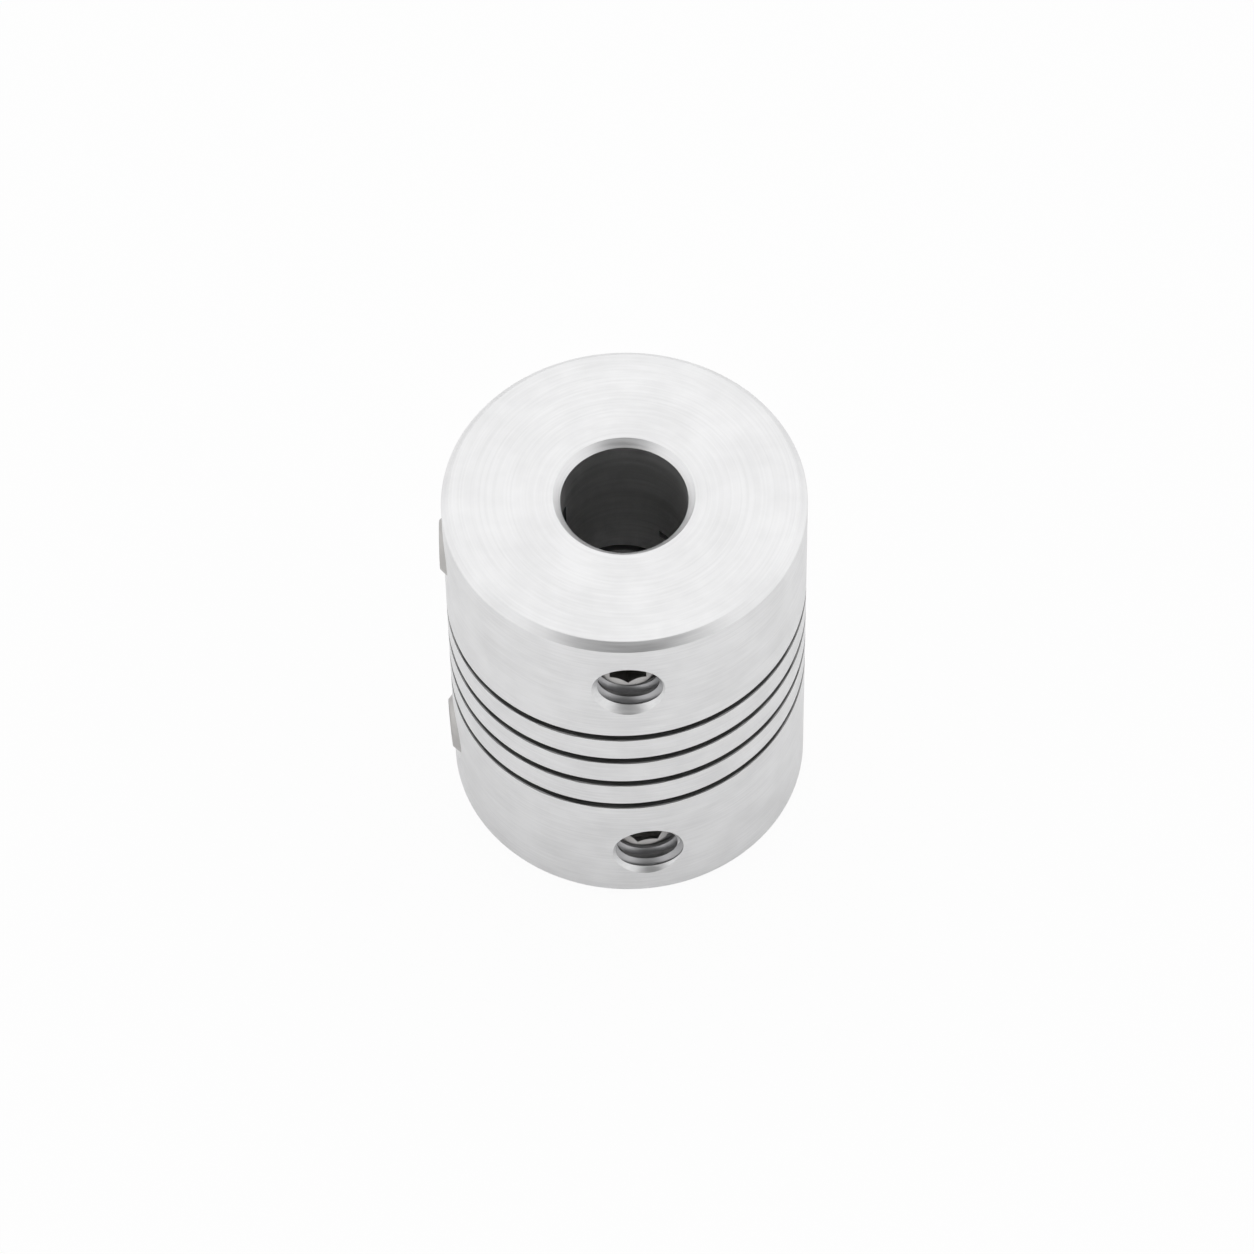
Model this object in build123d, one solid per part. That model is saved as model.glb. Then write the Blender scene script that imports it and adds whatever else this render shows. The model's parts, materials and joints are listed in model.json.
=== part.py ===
from build123d import *

import os

# One-piece helical-slit flexible shaft coupling with four M4 set screws.
# Millimetres. +Z runs up the bore axis, and the origin is the centre of the
# lower end face. Angles go round +Z from the front, which is -Y, towards +X.

# Cylinder and bore, with 45 degree chamfers at both ends
outer_diameter = 20.0
length = 25.0
outer_chamfer = 0.45
bore_diameter = 7.0
bore_chamfer = 0.4

# Helical slit, right-handed, cut through the wall, halfway along the body
slit_width = 0.5
slit_pitch = 2.3
slit_turns = 4.0
slit_end_angle = 147.0

# Threaded cross holes, two in each hub and a quarter turn apart
thread_diameter = 4.0
thread_clearance = 0.05
hole_from_end = 4.3
hole_countersink = 0.15
side_hole_angle = -90.0
lower_hub_turn = 5.5

# Set screw: plain where the fine thread runs, hexagon socket, cup point
screw_length = 5.0
screw_face_diameter = 2.7
cup_rim_diameter = 2.2
cup_depth = 0.4
socket_across_flats = 2.0
socket_depth = 2.0
socket_drill_depth = 0.4

# How far each screw's face lies under the cylinder; a negative one stands proud
front_screw_sink = 1.35
side_screw_sink = -0.2

# Each socket's turn, from a corner straight down, anticlockwise from outside
socket_turns = {
    "upper_front": 0.0,
    "upper_side": 50.0,
    "lower_front": 36.0,
    "lower_side": 20.0,
}

# How far a cutter runs past the metal that it cuts
overrun = 0.6

outer_radius = outer_diameter / 2
bore_radius = bore_diameter / 2
hole_radius = thread_diameter / 2
screw_radius = hole_radius - thread_clearance


def turned(*corners):
    """The solid of revolution of a closed outline of radius and height, about the Z axis."""
    outline = make_face(Polyline(*corners, close=True))
    return revolve(Plane.XZ * outline, axis=Axis.Z)


def turned_blank():
    """The bar after turning and boring, with its four corners chamfered."""
    shoulder = outer_radius - outer_chamfer
    mouth = bore_radius + bore_chamfer
    return turned(
        (mouth, 0),
        (shoulder, 0),
        (outer_radius, outer_chamfer),
        (outer_radius, length - outer_chamfer),
        (shoulder, length),
        (mouth, length),
        (bore_radius, length - bore_chamfer),
        (bore_radius, bore_chamfer),
    )


def helical_slit():
    """A thin radial blade swept up a helix, from inside the bore to the open."""
    inner = bore_radius - overrun
    outer = outer_radius + overrun
    middle = (inner + outer) / 2
    height = slit_pitch * slit_turns
    path = Helix(pitch=slit_pitch, height=height, radius=middle)
    blade = Plane.XZ * Pos(middle, 0) * Rectangle(outer - inner, slit_width)
    cut = sweep(blade, path=path, is_frenet=True)
    return Pos(0, 0, (length - height) / 2) * Rot(0, 0, slit_end_angle - 90) * cut


def facing(angle, height):
    """A plane on the bore axis that faces outwards at that angle, with its x axis down."""
    outward = Vector(0, -1, 0).rotate(Axis.Z, angle)
    return Plane(origin=(0, 0, height), x_dir=(0, 0, -1), z_dir=outward)


def cross_hole():
    """One screw hole along Z, from inside the bore out past the cylinder."""
    start = bore_radius - overrun
    mouth = outer_radius - hole_countersink
    reach = outer_radius + overrun
    return turned(
        (0, start),
        (hole_radius, start),
        (hole_radius, mouth),
        (hole_radius + reach - mouth, reach),
        (0, reach),
    )


def set_screw(sink, socket_turn):
    """A headless screw along Z, with its socket end outwards at the given depth."""
    face = outer_radius - sink
    point = face - screw_length
    face_radius = screw_face_diameter / 2
    cup_radius = cup_rim_diameter / 2
    blank = turned(
        (0, point + cup_depth),
        (cup_radius, point),
        (screw_radius, point + screw_radius - cup_radius),
        (screw_radius, face - screw_radius + face_radius),
        (face_radius, face),
        (0, face),
    )
    apothem = socket_across_flats / 2
    floor = face - socket_depth
    hexagon = RegularPolygon(apothem, 6, major_radius=False, rotation=socket_turn)
    socket = Pos(0, 0, floor) * extrude(hexagon, socket_depth + overrun)
    drilled = Pos(0, 0, floor) * Cone(
        0,
        apothem,
        socket_drill_depth,
        align=(Align.CENTER, Align.CENTER, Align.MAX),
    )
    return blank - socket - drilled


def main():
    upper = length - hole_from_end
    lower = hole_from_end
    side = side_hole_angle
    turned = lower_hub_turn
    seats = {
        "upper_front": (facing(0, upper), front_screw_sink),
        "upper_side": (facing(side, upper), side_screw_sink),
        "lower_front": (facing(turned, lower), front_screw_sink),
        "lower_side": (facing(side + turned, lower), side_screw_sink),
    }
    body = turned_blank() - helical_slit()
    for seat, _ in seats.values():
        body -= seat * cross_hole()
    pieces = {"coupling_body": body}
    for name, (seat, sink) in seats.items():
        pieces[f"{name}_set_screw"] = seat * set_screw(sink, socket_turns[name])

    os.makedirs("parts", exist_ok=True)
    for name, piece in pieces.items():
        export_step(piece, f"parts/{name}.step")


main()
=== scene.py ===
import json
import math

import bmesh
import bpy
import numpy as np
from mathutils import Matrix, Vector


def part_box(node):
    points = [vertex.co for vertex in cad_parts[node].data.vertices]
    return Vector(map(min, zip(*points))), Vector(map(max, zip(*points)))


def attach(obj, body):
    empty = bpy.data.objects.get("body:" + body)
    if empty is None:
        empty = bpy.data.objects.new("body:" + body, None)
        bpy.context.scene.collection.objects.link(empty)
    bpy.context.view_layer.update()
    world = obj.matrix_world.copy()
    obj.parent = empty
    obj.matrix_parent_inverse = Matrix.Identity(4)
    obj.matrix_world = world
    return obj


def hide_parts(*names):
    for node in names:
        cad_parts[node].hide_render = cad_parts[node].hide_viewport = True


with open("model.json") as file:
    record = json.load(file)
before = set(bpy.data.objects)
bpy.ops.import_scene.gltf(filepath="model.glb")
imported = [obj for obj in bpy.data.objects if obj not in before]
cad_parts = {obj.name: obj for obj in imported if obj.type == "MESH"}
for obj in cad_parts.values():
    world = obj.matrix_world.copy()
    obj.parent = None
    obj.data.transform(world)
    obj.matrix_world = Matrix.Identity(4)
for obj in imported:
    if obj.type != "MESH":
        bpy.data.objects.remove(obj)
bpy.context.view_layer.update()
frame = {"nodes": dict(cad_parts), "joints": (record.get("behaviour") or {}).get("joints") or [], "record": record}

# Sizes of the coupling, in metres. The CAD's boxes and record give what they can.
MM = 0.001
BODY_LOW, BODY_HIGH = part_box("coupling_body")
RADIUS = (BODY_HIGH.x - BODY_LOW.x) / 2
LENGTH = BODY_HIGH.z - BODY_LOW.z
MOUNTS = {mount["name"]: mount for mount in frame["record"]["mounts"]}
BORE_RADIUS = MOUNTS["upper_bore"]["dims"]["r_mm"] * MM
BORE_CHAMFER = 0.4 * MM
RIM_CHAMFER = 0.45 * MM
RIM_ROUND = 0.12 * MM

SLIT_WIDTH = 0.5 * MM
SLIT_PITCH = 2.3 * MM
SLIT_TURNS = 4.0
SLIT_END_ANGLE = 147.0
UPPER_LIP = 0.012 * MM
LOWER_LIP = 0.045 * MM
LIP_RAGGED = 0.03 * MM

THREAD_PITCH = 0.7 * MM
THREAD_RADIUS = 2.0 * MM
THREAD_DEPTH = 0.3 * MM
THREAD_GAP = 0.04 * MM
COUNTERSINK = 0.2 * MM
THREAD_INNER_END = 2.9 * MM + THREAD_PITCH
CONE_DEPTH = 0.8 * MM
CONE_OVERRUN = 0.5 * MM
# How far each thread is shifted along its hole.
THREAD_PHASES = {
    "upper_front_set_screw": -0.40 * MM,
    "upper_side_set_screw": 0.0,
    "lower_front_set_screw": -0.19 * MM,
    "lower_side_set_screw": 0.0,
}

SCREW_LENGTH = 5.0 * MM
SCREW_FACE_RADIUS = 1.35 * MM
CUP_RADIUS = 1.1 * MM
CUP_DEPTH = 0.4 * MM
SOCKET_WIDTH = 2.0 * MM
SOCKET_DEPTH = 2.0 * MM
LEAD_IN_RADIUS = 1.25 * MM
LEAD_IN_SLOPE = math.tan(math.radians(60))
SOCKET_TURNS = {
    "upper_front_set_screw": 0.0,
    "upper_side_set_screw": 50.0,
    "lower_front_set_screw": 36.0,
    "lower_side_set_screw": 20.0,
}

FLOOR_TONE = 0.95
FLOOR_SEEN_WHITE = 0.94
SKY_STRENGTH = 0.95
FRONT_STRENGTH = 0.15
FRONT_DIRECTION = (0.0, -0.83, 0.56)

FRAME_PIXELS = 1254
SENSOR_WIDTH = 36.0
FOCAL_PIXELS = 6463.77
CAMERA_YAW, CAMERA_PITCH, CAMERA_ROLL = 0.000017, 0.977746, -0.020591
CAMERA_PLACE = Vector((0, -202.543, 312.736)) * MM

RINGS = 384
THREAD_RINGS = 96
SLIT_STEPS = 288


def new_object(name, vertices, faces, material=None):
    mesh = bpy.data.meshes.new(name)
    mesh.from_pydata([tuple(v) for v in vertices], [], faces)
    mesh.update()
    made = bpy.data.objects.new(name, mesh)
    bpy.context.scene.collection.objects.link(made)
    if material is not None:
        mesh.materials.append(material)
    return made


def outward_normals(made):
    work = bmesh.new()
    work.from_mesh(made.data)
    bmesh.ops.recalc_face_normals(work, faces=work.faces)
    work.to_mesh(made.data)
    work.free()


def lathe(name, outline, count, material=None):
    """A closed ring or a solid of revolution about Z from (radius, height) points."""
    vertices, index = [], []
    for radius, height in outline:
        if radius < 1e-9:
            index.append([len(vertices)] * count)
            vertices.append((0, 0, height))
            continue
        index.append(list(range(len(vertices), len(vertices) + count)))
        for turn in range(count):
            angle = 2 * math.pi * turn / count
            vertices.append((radius * math.cos(angle), radius * math.sin(angle), height))
    faces = []
    for row, after in zip(index, index[1:] + index[:1]):
        for turn in range(count):
            following = (turn + 1) % count
            corners = [row[turn], row[following], after[following], after[turn]]
            face = [c for n, c in enumerate(corners) if c not in corners[:n]]
            if len(face) > 2:
                faces.append(face)
    made = new_object(name, vertices, faces, material)
    outward_normals(made)
    return made


def cut(target, cutter, operation="DIFFERENCE"):
    """Applies an exact boolean and removes the cutter."""
    modifier = target.modifiers.new("cut", "BOOLEAN")
    modifier.object = cutter
    modifier.operation = operation
    modifier.solver = "EXACT"
    modifier.material_mode = "TRANSFER"
    bpy.context.view_layer.update()
    graph = bpy.context.evaluated_depsgraph_get()
    made = bpy.data.meshes.new_from_object(target.evaluated_get(graph))
    target.modifiers.clear()
    target.data = made
    bpy.data.objects.remove(cutter)


def finish_mesh(made, angle=35.0, merge=1e-7):
    """Joins doubled corners and shades smooth up to an angle."""
    work = bmesh.new()
    work.from_mesh(made.data)
    bmesh.ops.remove_doubles(work, verts=work.verts, dist=merge)
    bmesh.ops.dissolve_degenerate(work, edges=work.edges, dist=merge)
    work.to_mesh(made.data)
    work.free()
    made.data.shade_smooth()
    made.data.set_sharp_from_angle(angle=math.radians(angle))


def thread_rod(name, low, high, radius, depth, gap, phase, material):
    """A right-hand threaded rod along Z, whose ends run past low and high by a pitch."""
    crest = THREAD_PITCH / 8 - gap
    root = THREAD_PITCH / 4 + gap
    flank = (THREAD_PITCH - crest - root) / 2
    profile = [
        (-crest / 2, radius),
        (crest / 2, radius),
        (crest / 2 + flank, radius - depth),
        (crest / 2 + flank + root, radius - depth),
    ]
    per_turn = len(profile)
    first = math.floor((low - THREAD_PITCH) / THREAD_PITCH)
    turns = math.ceil((high + THREAD_PITCH) / THREAD_PITCH) - first
    rows = per_turn * turns
    vertices = []
    for row in range(rows + per_turn):
        lift, reach = profile[row % per_turn]
        base = (first + row // per_turn) * THREAD_PITCH + lift + phase
        for ring in range(THREAD_RINGS):
            turn = ring / THREAD_RINGS
            angle = 2 * math.pi * turn
            height = base + THREAD_PITCH * turn
            vertices.append((reach * math.cos(angle), reach * math.sin(angle), height))

    def at(row, ring):
        if ring == THREAD_RINGS:
            return (row + per_turn) * THREAD_RINGS
        return row * THREAD_RINGS + ring

    faces = []
    for row in range(rows - 1):
        for ring in range(THREAD_RINGS):
            beside = ring + 1
            faces.append((at(row, ring), at(row, beside), at(row + 1, beside), at(row + 1, ring)))
    for row, side in ((0, -1), (rows - 1, 1)):
        loop = [at(row, ring) for ring in range(THREAD_RINGS + 1)]
        loop += [at(row + step, 0) for step in range(per_turn - 1, 0, -1)]
        middle = sum((Vector(vertices[n]) for n in loop), Vector()) / len(loop)
        vertices.append((0, 0, middle.z))
        hub = len(vertices) - 1
        for one, other in zip(loop, loop[1:] + loop[:1]):
            faces.append((hub, one, other) if side > 0 else (hub, other, one))
    made = new_object(name, vertices, faces, material)
    work = bmesh.new()
    work.from_mesh(made.data)
    loose = [v for v in work.verts if not v.link_faces]
    bmesh.ops.delete(work, geom=loose, context="VERTS")
    bmesh.ops.recalc_face_normals(work, faces=work.faces)
    work.to_mesh(made.data)
    work.free()
    return made


def ragged(count, seed, octaves):
    """A smooth closed random line from about -1 to 1, the same on each run."""
    source = np.random.default_rng(seed)
    steps = np.arange(count) / count
    line = np.zeros(count)
    for waves, weight in octaves:
        for _ in range(6):
            cycles = int(waves * source.uniform(0.6, 1.6))
            line += weight * np.sin(2 * np.pi * (cycles * steps + source.uniform()))
    return line / np.abs(line).max()


def slit_cutter(material):
    """The helical blade, flared a little where it leaves the cylinder, along both lips."""
    height = SLIT_PITCH * SLIT_TURNS
    start = (LENGTH - height) / 2
    steps = int(SLIT_STEPS * SLIT_TURNS)
    rough = ragged(steps + 1, 11, ((40, 1.0), (110, 0.8), (260, 0.6)))
    inner = BORE_RADIUS - 0.6 * MM
    outer = RADIUS + 0.5 * MM
    half = SLIT_WIDTH / 2
    vertices, faces = [], []
    for step in range(steps + 1):
        share = step / steps
        angle = math.radians(SLIT_END_ANGLE - 90) + 2 * math.pi * SLIT_TURNS * share
        middle = start + height * share
        low = LOWER_LIP + LIP_RAGGED * max(-0.8, rough[step])
        high = UPPER_LIP
        section = [
            (inner, -half),
            (RADIUS - low, -half),
            (outer, -half - (outer - RADIUS + low)),
            (outer, half + (outer - RADIUS + high)),
            (RADIUS - high, half),
            (inner, half),
        ]
        for reach, lift in section:
            vertices.append((reach * math.cos(angle), reach * math.sin(angle), middle + lift))
    corners = 6
    for step in range(steps):
        for corner in range(corners):
            after = (corner + 1) % corners
            here, there = step * corners, (step + 1) * corners
            faces.append((here + corner, here + after, there + after, there + corner))
    faces.append(tuple(range(corners)))
    faces.append(tuple(range(steps * corners, (steps + 1) * corners)))
    made = new_object("slit_cutter", vertices, faces, material)
    outward_normals(made)
    return made


def screw_axis(name):
    """The screw's outward direction and its height, from its joint and its CAD box."""
    joint = next(j for j in frame["joints"] if j["child"] == name)
    low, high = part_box(name)
    return Vector(joint["axis"]).normalized(), (low.z + high.z) / 2


def seat(name):
    """The matrix from a hole's own frame, Z outward and X down, to the row frame."""
    outward, height = screw_axis(name)
    down = Vector((0, 0, -1))
    across = outward.cross(down)
    matrix = Matrix((down, across, outward)).transposed().to_4x4()
    matrix.translation = Vector((0, 0, height))
    return matrix


def screw_face(name):
    """How far out along its axis a screw's face lies, from its CAD mesh."""
    outward, height = screw_axis(name)
    points = frame["nodes"][name].data.vertices
    return max(v.co.dot(outward) for v in points)


def material(name, base, metallic, roughness, marks, depth):
    """Machined metal: fine marks around the bore axis over a faint broad mottle."""
    made = bpy.data.materials.new(name)
    made.use_nodes = True
    tree = made.node_tree
    shader = tree.nodes["Principled BSDF"]
    shader.inputs["Metallic"].default_value = metallic
    coords = tree.nodes.new("ShaderNodeTexCoord")
    split = tree.nodes.new("ShaderNodeSeparateXYZ")
    flat = tree.nodes.new("ShaderNodeCombineXYZ")
    reach = tree.nodes.new("ShaderNodeVectorMath")
    reach.operation = "LENGTH"
    drift = tree.nodes.new("ShaderNodeMath")
    drift.operation = "MULTIPLY"
    drift.inputs[1].default_value = 0.05
    rings = tree.nodes.new("ShaderNodeCombineXYZ")
    fine = tree.nodes.new("ShaderNodeTexNoise")
    fine.inputs["Scale"].default_value = marks
    fine.inputs["Detail"].default_value = 4.0
    broad = tree.nodes.new("ShaderNodeTexNoise")
    broad.inputs["Scale"].default_value = 420.0
    broad.inputs["Detail"].default_value = 5.0
    both = tree.nodes.new("ShaderNodeMath")
    both.operation = "ADD"
    ramp = tree.nodes.new("ShaderNodeMapRange")
    ramp.inputs["From Min"].default_value = 0.75
    ramp.inputs["From Max"].default_value = 1.25
    tone = tree.nodes.new("ShaderNodeValToRGB")
    tone.color_ramp.elements[0].color = (*[0.93 * part for part in base], 1)
    tone.color_ramp.elements[1].color = (*[min(1.0, 1.04 * part) for part in base], 1)
    rough = tree.nodes.new("ShaderNodeMapRange")
    rough.inputs["From Min"].default_value = 0.3
    rough.inputs["From Max"].default_value = 0.7
    rough.inputs["To Min"].default_value = roughness - 0.06
    rough.inputs["To Max"].default_value = roughness + 0.06
    bump = tree.nodes.new("ShaderNodeBump")
    bump.inputs["Strength"].default_value = 0.6
    bump.inputs["Distance"].default_value = depth
    link = tree.links.new
    link(coords.outputs["Object"], split.inputs[0])
    link(split.outputs["X"], flat.inputs["X"])
    link(split.outputs["Y"], flat.inputs["Y"])
    link(flat.outputs[0], reach.inputs[0])
    link(reach.outputs["Value"], rings.inputs["X"])
    link(split.outputs["Z"], rings.inputs["Y"])
    link(split.outputs["X"], drift.inputs[0])
    link(drift.outputs[0], rings.inputs["Z"])
    link(rings.outputs[0], fine.inputs["Vector"])
    link(coords.outputs["Object"], broad.inputs["Vector"])
    link(fine.outputs[0], both.inputs[0])
    link(broad.outputs[0], both.inputs[1])
    link(both.outputs[0], ramp.inputs["Value"])
    link(ramp.outputs[0], tone.inputs["Fac"])
    link(tone.outputs["Color"], shader.inputs["Base Color"])
    link(fine.outputs[0], rough.inputs["Value"])
    link(rough.outputs[0], shader.inputs["Roughness"])
    link(fine.outputs[0], bump.inputs["Height"])
    link(bump.outputs["Normal"], shader.inputs["Normal"])
    return made


turned_alu = material("turned_aluminium", (0.92, 0.92, 0.925), 1.0, 0.42, 7000.0, 3e-6)
bored_alu = material("bored_aluminium", (0.9, 0.9, 0.9), 1.0, 0.36, 5000.0, 5e-6)
# Base 0.3 on the slit walls is painted shade for the narrow slit; the sawn metal itself is as light as the rest of
# the body.
slit_alu_painted_shade = material("sawn_aluminium_painted_shade", (0.3, 0.3, 0.3), 1.0, 0.5, 9000.0, 5e-6)
# Base 0.55 in the tapped holes is painted shade for the recess; the threads are the same aluminium as the body.
tapped_alu_painted_shade = material("tapped_aluminium_painted_shade", (0.55, 0.55, 0.56), 1.0, 0.35, 6000.0, 3e-6)
screw_steel = material("screw_steel", (0.58, 0.57, 0.56), 1.0, 0.38, 4000.0, 3e-6)
# Base 0.28 in the hex socket is painted shade for the recess; the socket is the same steel as the screw.
socket_steel_painted_shade = material("socket_steel_painted_shade", (0.28, 0.27, 0.26), 1.0, 0.5, 4000.0, 3e-6)


def rounded(corner, before, after, radius, count=5):
    """Points of an arc that rounds a corner of an outline."""
    corner, before, after = Vector(corner), Vector(before), Vector(after)
    one = (before - corner).normalized()
    other = (after - corner).normalized()
    half = one.angle(other) / 2
    reach = radius / math.tan(half)
    start, end = corner + one * reach, corner + other * reach
    centre = corner + (one + other).normalized() * (radius / math.sin(half))
    first, last = start - centre, end - centre
    sweep = first.angle_signed(last)
    points = []
    for step in range(count + 1):
        turn = Matrix.Rotation(-sweep * step / count, 2)
        points.append(tuple(centre + turn @ first))
    return points


def body_blank():
    shoulder = RADIUS - RIM_CHAMFER
    mouth = BORE_RADIUS + BORE_CHAMFER
    low, high = 0.0, LENGTH
    outline = []
    corners = [
        ((mouth, low), 0.03 * MM),
        ((shoulder, low), RIM_ROUND),
        ((RADIUS, low + RIM_CHAMFER), 0.06 * MM),
        ((RADIUS, high - RIM_CHAMFER), 0.06 * MM),
        ((shoulder, high), RIM_ROUND),
        ((mouth, high), 0.03 * MM),
        ((BORE_RADIUS, high - BORE_CHAMFER), 0.02 * MM),
        ((BORE_RADIUS, low + BORE_CHAMFER), 0.02 * MM),
    ]
    for n, (corner, radius) in enumerate(corners):
        before = corners[n - 1][0]
        after = corners[(n + 1) % len(corners)][0]
        outline += rounded(corner, before, after, radius)
    made = lathe("coupling_body_shape", outline, RINGS, turned_alu)
    made.data.materials.append(bored_alu)
    for face in made.data.polygons:
        reach = face.center.xy.length
        inside = low + BORE_CHAMFER < face.center.z < high - BORE_CHAMFER
        if reach < BORE_RADIUS * 1.002 and inside:
            face.material_index = 1
    return made


def build_body():
    body = body_blank()
    cut(body, slit_cutter(slit_alu_painted_shade))
    for name in SOCKET_TURNS:
        place = seat(name)
        phase = THREAD_PHASES[name]
        tap = thread_rod(
            "tap", THREAD_INNER_END, RADIUS, THREAD_RADIUS, THREAD_DEPTH, 0.0, phase, tapped_alu_painted_shade
        )
        tap.data.transform(place)
        cut(body, tap)
        start = RADIUS - COUNTERSINK - CONE_DEPTH
        cone = lathe(
            "cone",
            [
                (0, start),
                (THREAD_RADIUS - CONE_DEPTH, start),
                (THREAD_RADIUS + COUNTERSINK + CONE_OVERRUN, RADIUS + CONE_OVERRUN),
                (0, RADIUS + CONE_OVERRUN),
            ],
            THREAD_RINGS,
            turned_alu,
        )
        cone.data.transform(place)
        cut(body, cone)
    finish_mesh(body)
    body.name = "coupling_body_shape"
    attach(body, "coupling_body")
    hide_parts("coupling_body")
    return body


def build_screw(name):
    face = screw_face(name)
    point = face - SCREW_LENGTH
    radius = THREAD_RADIUS - THREAD_GAP
    phase = THREAD_PHASES[name]
    rod = thread_rod(
        name + "_shape", point, face, radius, THREAD_DEPTH, 0.02 * MM, phase, screw_steel
    )
    corners = [
        ((0, point + CUP_DEPTH), 0),
        ((CUP_RADIUS, point), 0.03 * MM),
        ((radius + 0.2 * MM, point + radius + 0.2 * MM - CUP_RADIUS), 0),
        ((radius + 0.2 * MM, face - radius - 0.2 * MM + SCREW_FACE_RADIUS), 0),
        ((SCREW_FACE_RADIUS, face), 0.06 * MM),
        ((0, face), 0),
    ]
    outline = []
    for n, (corner, rounding) in enumerate(corners):
        if rounding:
            before = corners[n - 1][0]
            after = corners[(n + 1) % len(corners)][0]
            outline += rounded(corner, before, after, rounding)
        else:
            outline.append(corner)
    form = lathe("form", outline, THREAD_RINGS, screw_steel)
    cut(rod, form, "INTERSECT")
    apothem = SOCKET_WIDTH / 2
    floor = face - SOCKET_DEPTH
    turn = SOCKET_TURNS[name]
    lead = 0.06 * MM
    corner = apothem / math.cos(math.radians(30))
    over = 0.4 * MM
    vertices = [(0, 0, floor - 0.35 * MM)]
    sections = ((corner, floor), (corner, face - lead), (corner + lead + over, face + over))
    for reach, height in sections:
        for side in range(6):
            angle = math.radians(turn + 60 * side)
            vertices.append((reach * math.cos(angle), reach * math.sin(angle), height))
    vertices.append((0, 0, face + over))
    faces = []
    for side in range(6):
        after = (side + 1) % 6
        faces.append((0, 1 + side, 1 + after))
        faces.append((1 + side, 1 + after, 7 + after, 7 + side))
        faces.append((7 + side, 7 + after, 13 + after, 13 + side))
        faces.append((13 + side, 13 + after, 19))
    key = new_object("key", vertices, faces, socket_steel_painted_shade)
    outward_normals(key)
    cut(rod, key)
    lead_in = lathe(
        "lead_in",
        [
            (0, face - LEAD_IN_RADIUS / LEAD_IN_SLOPE),
            (LEAD_IN_RADIUS + over * LEAD_IN_SLOPE, face + over),
            (0, face + over),
        ],
        THREAD_RINGS,
        screw_steel,
    )
    cut(rod, lead_in)
    rod.data.transform(seat(name))
    finish_mesh(rod)
    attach(rod, name)
    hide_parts(name)
    return rod


build_body()
for screw in SOCKET_TURNS:
    build_screw(screw)


# Stage, light and camera
def build_floor():
    half = 0.6
    corners = [(-half, -half, 0), (half, -half, 0), (half, half, 0), (-half, half, 0)]
    floor = new_object("floor", corners, [(0, 1, 2, 3)])
    made = bpy.data.materials.new("floor_white")
    made.use_nodes = True
    tree = made.node_tree
    tree.nodes.clear()
    out = tree.nodes.new("ShaderNodeOutputMaterial")
    path = tree.nodes.new("ShaderNodeLightPath")
    diffuse = tree.nodes.new("ShaderNodeBsdfDiffuse")
    diffuse.inputs["Color"].default_value = (FLOOR_TONE, FLOOR_TONE, FLOOR_TONE, 1)
    glow = tree.nodes.new("ShaderNodeEmission")
    glow.inputs["Color"].default_value = (1, 1, 1, 1)
    mix = tree.nodes.new("ShaderNodeMixShader")
    weight = tree.nodes.new("ShaderNodeMath")
    weight.operation = "MULTIPLY"
    weight.inputs[1].default_value = FLOOR_SEEN_WHITE
    tree.links.new(path.outputs["Is Camera Ray"], weight.inputs[0])
    tree.links.new(weight.outputs[0], mix.inputs[0])
    tree.links.new(diffuse.outputs[0], mix.inputs[1])
    tree.links.new(glow.outputs[0], mix.inputs[2])
    tree.links.new(mix.outputs[0], out.inputs["Surface"])
    floor.data.materials.append(made)


def build_world():
    world = bpy.data.worlds.new("studio")
    bpy.context.scene.world = world
    world.use_nodes = True
    tree = world.node_tree
    back = tree.nodes["Background"]
    back.inputs["Color"].default_value = (1, 1, 1, 1)
    coords = tree.nodes.new("ShaderNodeTexCoord")
    towards = tree.nodes.new("ShaderNodeVectorMath")
    towards.operation = "DOT_PRODUCT"
    towards.inputs[1].default_value = FRONT_DIRECTION
    fade = tree.nodes.new("ShaderNodeMapRange")
    fade.interpolation_type = "SMOOTHSTEP"
    fade.inputs["From Min"].default_value = 0.72
    fade.inputs["From Max"].default_value = 0.98
    fade.inputs["To Min"].default_value = SKY_STRENGTH
    fade.inputs["To Max"].default_value = FRONT_STRENGTH
    tree.links.new(coords.outputs["Generated"], towards.inputs[0])
    tree.links.new(towards.outputs["Value"], fade.inputs["Value"])
    tree.links.new(fade.outputs[0], back.inputs["Strength"])
    seen = tree.nodes.new("ShaderNodeBackground")
    seen.inputs["Strength"].default_value = 1.0
    seen.inputs["Color"].default_value = (1, 1, 1, 1)
    path = tree.nodes.new("ShaderNodeLightPath")
    mix = tree.nodes.new("ShaderNodeMixShader")
    tree.links.new(path.outputs["Is Camera Ray"], mix.inputs[0])
    tree.links.new(back.outputs[0], mix.inputs[1])
    tree.links.new(seen.outputs[0], mix.inputs[2])
    tree.links.new(mix.outputs[0], tree.nodes["World Output"].inputs["Surface"])


def build_camera():
    data = bpy.data.cameras.new("camera")
    data.sensor_width = SENSOR_WIDTH
    data.lens = FOCAL_PIXELS / FRAME_PIXELS * SENSOR_WIDTH
    data.clip_start = 0.01
    data.clip_end = 10.0
    camera = bpy.data.objects.new("camera", data)
    bpy.context.scene.collection.objects.link(camera)
    yaw, pitch, roll = CAMERA_YAW, CAMERA_PITCH, CAMERA_ROLL
    level = math.cos(pitch)
    forward = Vector((math.sin(yaw) * level, math.cos(yaw) * level, -math.sin(pitch)))
    right = Vector((math.cos(yaw), -math.sin(yaw), 0))
    up = right.cross(forward)
    across = math.cos(roll) * right + math.sin(roll) * up
    upward = -math.sin(roll) * right + math.cos(roll) * up
    matrix = Matrix((across, upward, -forward)).transposed().to_4x4()
    matrix.translation = CAMERA_PLACE
    camera.matrix_world = matrix
    bpy.context.scene.camera = camera


build_floor()
build_world()
build_camera()
bpy.context.scene.view_settings.view_transform = "Standard"
